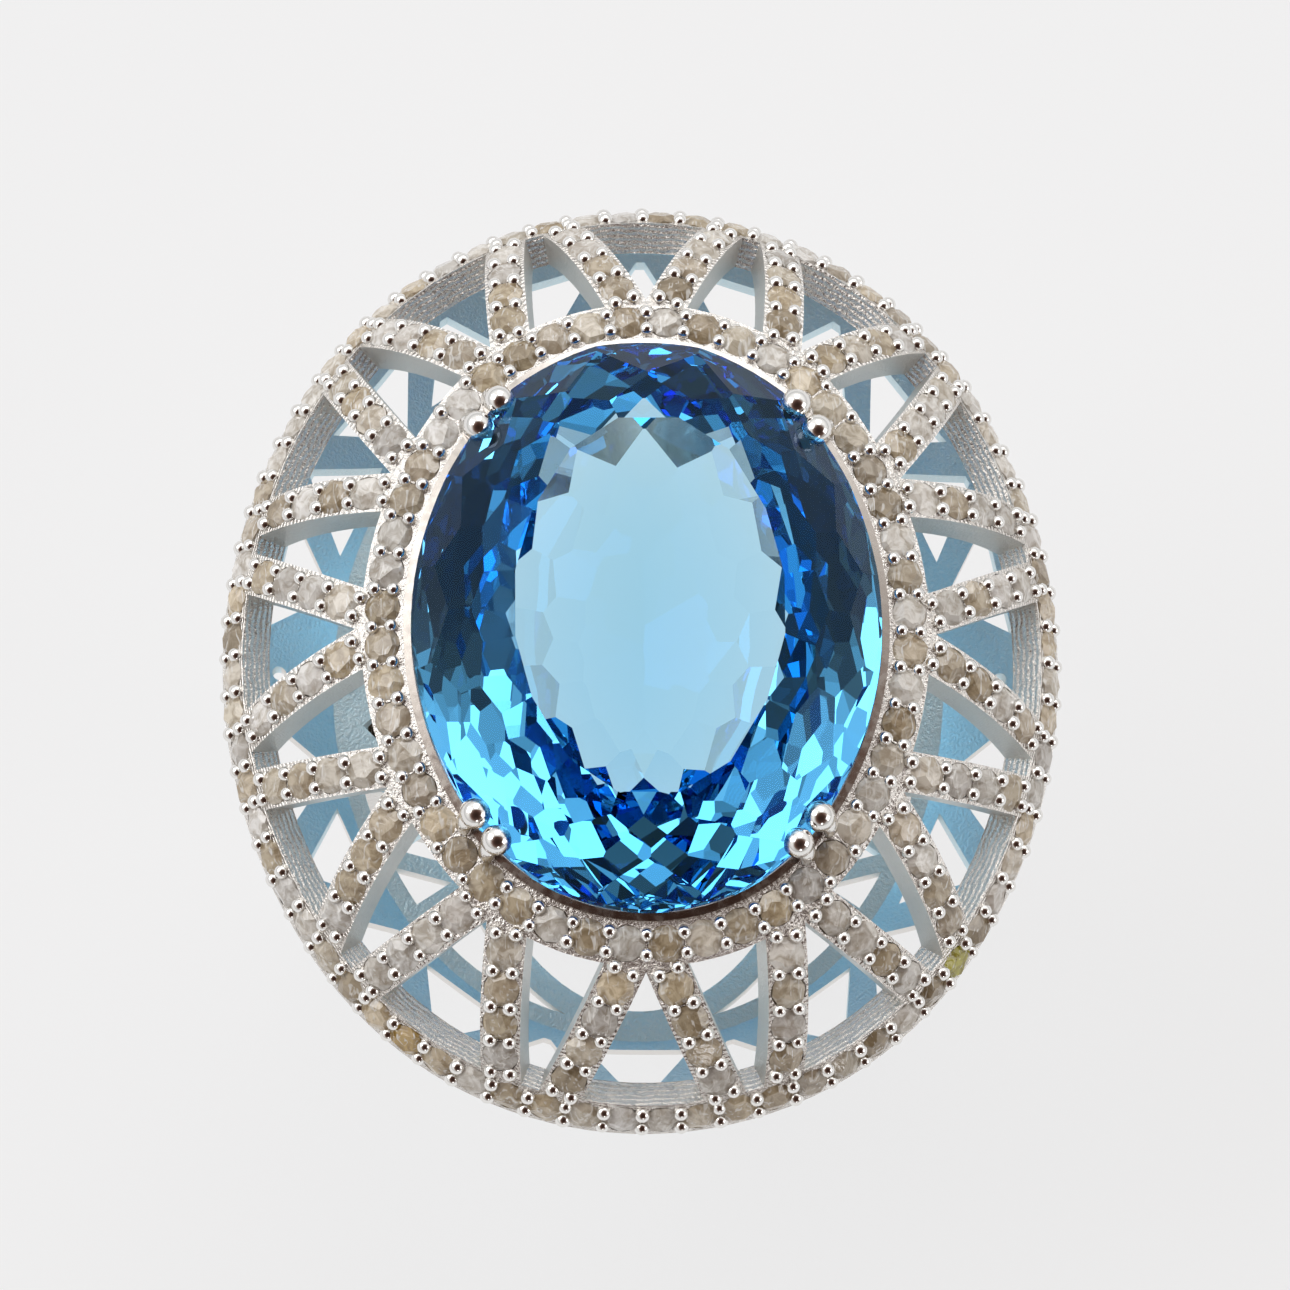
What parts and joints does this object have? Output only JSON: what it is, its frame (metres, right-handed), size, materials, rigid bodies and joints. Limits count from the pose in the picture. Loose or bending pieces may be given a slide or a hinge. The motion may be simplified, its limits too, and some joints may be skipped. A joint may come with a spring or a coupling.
{
  "type": "cocktail ring",
  "caption": "Finger ring with a large oval faceted blue stone in claws, haloed by small stones on an openwork pave dome over a pierced gallery and band.",
  "frame": {"origin": "centre of the finger hole, midway along the finger", "axes": "+Y along the finger and along the oval head's length, +Z through the middle of the head, +X across the finger"},
  "size_m": [0.0294, 0.0334, 0.0308],
  "materials": {
    "polished_silver": "polished, rhodium plated silver",
    "satin_silver": "satin, as cast and lightly brushed silver",
    "blue_topaz": "faceted and polished transparent blue stone",
    "rustic_diamond": "cut, milky and slightly cloudy stones"
  },
  "bodies": {
    "root": {"finger_band": "polished_silver", "under_gallery": "satin_silver", "collet": "polished_silver", "centre_stone": "blue_topaz", "halo_band": "polished_silver", "rim_band": "polished_silver", "halo_grains": "polished_silver", "rim_grains": "polished_silver", "strut_grains": "polished_silver", "halo_stones": "rustic_diamond", "rim_stones": "rustic_diamond", "claw_se_1": "polished_silver", "claw_se_2": "polished_silver", "claw_ne_1": "polished_silver", "claw_ne_2": "polished_silver", "claw_nw_1": "polished_silver", "claw_nw_2": "polished_silver", "claw_sw_1": "polished_silver", "claw_sw_2": "polished_silver", "v_strut_01": "satin_silver", "strut_stones_01": "rustic_diamond", "v_strut_02": "satin_silver", "strut_stones_02": "rustic_diamond", "v_strut_03": "satin_silver", "strut_stones_03": "rustic_diamond", "v_strut_04": "satin_silver", "strut_stones_04": "rustic_diamond", "v_strut_05": "satin_silver", "strut_stones_05": "rustic_diamond", "v_strut_06": "satin_silver", "strut_stones_06": "rustic_diamond", "v_strut_07": "satin_silver", "strut_stones_07": "rustic_diamond", "v_strut_08": "satin_silver", "strut_stones_08": "rustic_diamond", "v_strut_09": "satin_silver", "strut_stones_09": "rustic_diamond", "v_strut_10": "satin_silver", "strut_stones_10": "rustic_diamond", "v_strut_11": "satin_silver", "strut_stones_11": "rustic_diamond", "v_strut_12": "satin_silver", "strut_stones_12": "rustic_diamond"}
  },
  "joints": []
}
